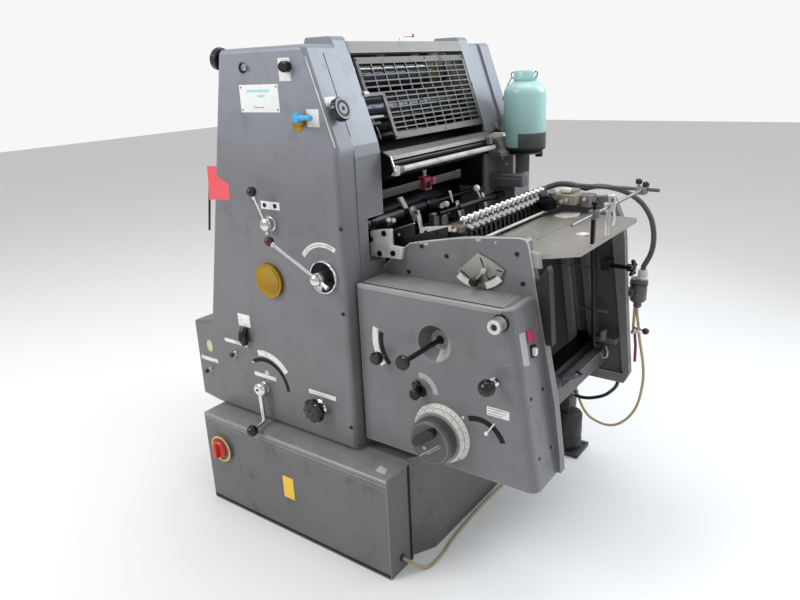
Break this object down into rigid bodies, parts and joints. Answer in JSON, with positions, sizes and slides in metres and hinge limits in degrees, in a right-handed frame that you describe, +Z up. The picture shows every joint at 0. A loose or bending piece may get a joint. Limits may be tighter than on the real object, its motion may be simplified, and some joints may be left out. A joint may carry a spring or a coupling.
{
  "type": "offset printing press",
  "caption": "Small sheet-fed offset press on a pedestal, with grid guard, feed board, suction head, pile table, hand levers and dials, water bottle, pump and hoses.",
  "frame": {"origin": "centre of the pedestal's underside, on the floor", "axes": "+X along the machine towards the feeder, +Y from the operator's side to the drive side, +Z up"},
  "size_m": [1.483, 1.146, 1.565],
  "materials": {
    "base_paint": "semi-gloss, scuffed",
    "machine_paint": "semi-gloss enamel, chipped at the edges",
    "bright_steel": "worn bright",
    "chrome_parts": "polished",
    "blackened_steel": "oily",
    "roller_rubber": "satin, inked",
    "cylinder_steel": "ground",
    "table_metal": "worn satin",
    "guard_metal": "dull",
    "cream_casting": "dusty",
    "bottle_plastic": "translucent, dusty",
    "pot_plastic": "dull",
    "hose_rubber": "matt, ribbed",
    "cream_tube": "yellowed",
    "cable_sheath": "dirty",
    "pump_paint": "oily",
    "black_knob": "polished",
    "red_switch": "gloss",
    "blue_tap": "gloss",
    "brass_plate": "dull",
    "red_clamp": "worn"
  },
  "bodies": {
    "press": {"pedestal": "base_paint", "switch_box": "base_paint", "operator_side_frame": "machine_paint", "operator_side_cover": "machine_paint", "drive_side_frame": "machine_paint", "drive_side_cover": "machine_paint", "top_bar": "guard_metal", "ink_duct": "blackened_steel", "ink_rollers": "roller_rubber", "water_tray": "bright_steel", "cylinders": "cylinder_steel", "cross_rods": "bright_steel", "bar_clamp": "red_clamp", "feed_board": "bright_steel", "board_bracket": "bright_steel", "register_shaft": "blackened_steel", "suction_head": "chrome_parts", "air_manifold": "cream_casting", "feeder_cabinet": "machine_paint", "feeder_side_frame_operator": "machine_paint", "feeder_side_frame_drive": "machine_paint", "cross_beam": "base_paint", "lift_rods": "blackened_steel", "rear_rods": "bright_steel", "drive_post": "machine_paint", "bottle": "bottle_plastic", "bottle_bracket": "bright_steel", "filter_pot": "pot_plastic", "corrugated_hose": "hose_rubber", "cream_hose": "cream_tube", "pump_hose": "hose_rubber", "foot_cable": "cable_sheath", "pump": "pump_paint", "rear_guard": "machine_paint", "delivery_hood": "machine_paint", "delivery_frame": "machine_paint", "delivery_board": "table_metal", "lever_plates": "chrome_parts", "brass_disc": "brass_plate", "small_knobs": "black_knob"},
    "main_switch": {"main_switch": "red_switch"},
    "grid_guard": {"grid_guard": "guard_metal"},
    "pile_table": {"pile_table": "table_metal"},
    "throw_lever": {"throw_lever": "chrome_parts"},
    "speed_lever": {"speed_lever": "chrome_parts"},
    "crank": {"crank": "chrome_parts"},
    "star_knob": {"star_knob": "black_knob"},
    "slant_knob": {"slant_knob": "black_knob"},
    "rear_knob": {"rear_knob": "black_knob"},
    "speed_dial": {"speed_dial": "black_knob"},
    "fan_pointer": {"fan_pointer": "black_knob"},
    "tap_handle": {"tap_handle": "blue_tap"},
    "pull_rod": {"pull_rod": "black_knob"},
    "arc_lever": {"arc_lever": "black_knob"},
    "pile_handwheel": {"pile_handwheel": "black_knob"}
  },
  "joints": [
    {"name": "guard_hinge", "type": "hinge", "parent": "press", "child": "grid_guard", "pos_m": [0.15924, 0, 1.405], "axis": [0, -1, 0], "range_deg": [0, 35]},
    {"name": "throw_lever_turn", "type": "hinge", "parent": "press", "child": "throw_lever", "pos_m": [-0.062, -0.53, 1.047], "axis": [0, -1, 0], "range_deg": [-50, 15]},
    {"name": "speed_lever_turn", "type": "hinge", "parent": "press", "child": "speed_lever", "pos_m": [0.14, -0.535, 0.908], "axis": [0, -1, 0], "range_deg": [0, 40]},
    {"name": "crank_turn", "type": "hinge", "parent": "press", "child": "crank", "pos_m": [-0.172, -0.53, 0.474], "axis": [0, -1, 0], "range_deg": [-95, 0]},
    {"name": "star_knob_turn", "type": "hinge", "parent": "press", "child": "star_knob", "pos_m": [0.08, -0.53, 0.471], "axis": [0, -1, 0], "continuous": true},
    {"name": "slant_knob_turn", "type": "hinge", "parent": "press", "child": "slant_knob", "pos_m": [0.18505, -0.465, 1.366], "axis": [0.9426, 0, 0.3339], "continuous": true},
    {"name": "rear_knob_turn", "type": "hinge", "parent": "press", "child": "rear_knob", "pos_m": [-0.21939, -0.465, 1.512], "axis": [-0.9744, 0, 0.225], "continuous": true},
    {"name": "speed_dial_turn", "type": "hinge", "parent": "press", "child": "speed_dial", "pos_m": [0.508, -0.51, 0.486], "axis": [0, -1, 0], "range_deg": [-90, 90]},
    {"name": "fan_pointer_turn", "type": "hinge", "parent": "press", "child": "fan_pointer", "pos_m": [0.577, -0.35, 0.945], "axis": [0, -1, 0], "range_deg": [-20, 20]},
    {"name": "tap_turn", "type": "hinge", "parent": "press", "child": "tap_handle", "pos_m": [0.12, -0.54, 1.358], "axis": [0, -1, 0], "range_deg": [0, 90]},
    {"name": "arc_lever_swing", "type": "hinge", "parent": "press", "child": "arc_lever", "pos_m": [0.409, -0.48, 0.731], "axis": [0, -1, 0], "range_deg": [-32, 10]},
    {"name": "main_switch_turn", "type": "hinge", "parent": "press", "child": "main_switch", "pos_m": [-0.34, -0.6, 0.232], "axis": [0, -1, 0], "range_deg": [-90, 0]},
    {"name": "pile_handwheel_turn", "type": "hinge", "parent": "press", "child": "pile_handwheel", "pos_m": [0.7, 0.278, 0.819], "axis": [1, 0, 0], "continuous": true},
    {"name": "pull_rod_slide", "type": "slide", "parent": "press", "child": "pull_rod", "axis": [0, -1, 0], "range_m": [0, 0.03]},
    {"name": "pile_table_slide", "type": "slide", "parent": "press", "child": "pile_table", "axis": [0.0593, 0, -0.9982], "range_m": [0, 0.4]}
  ]
}
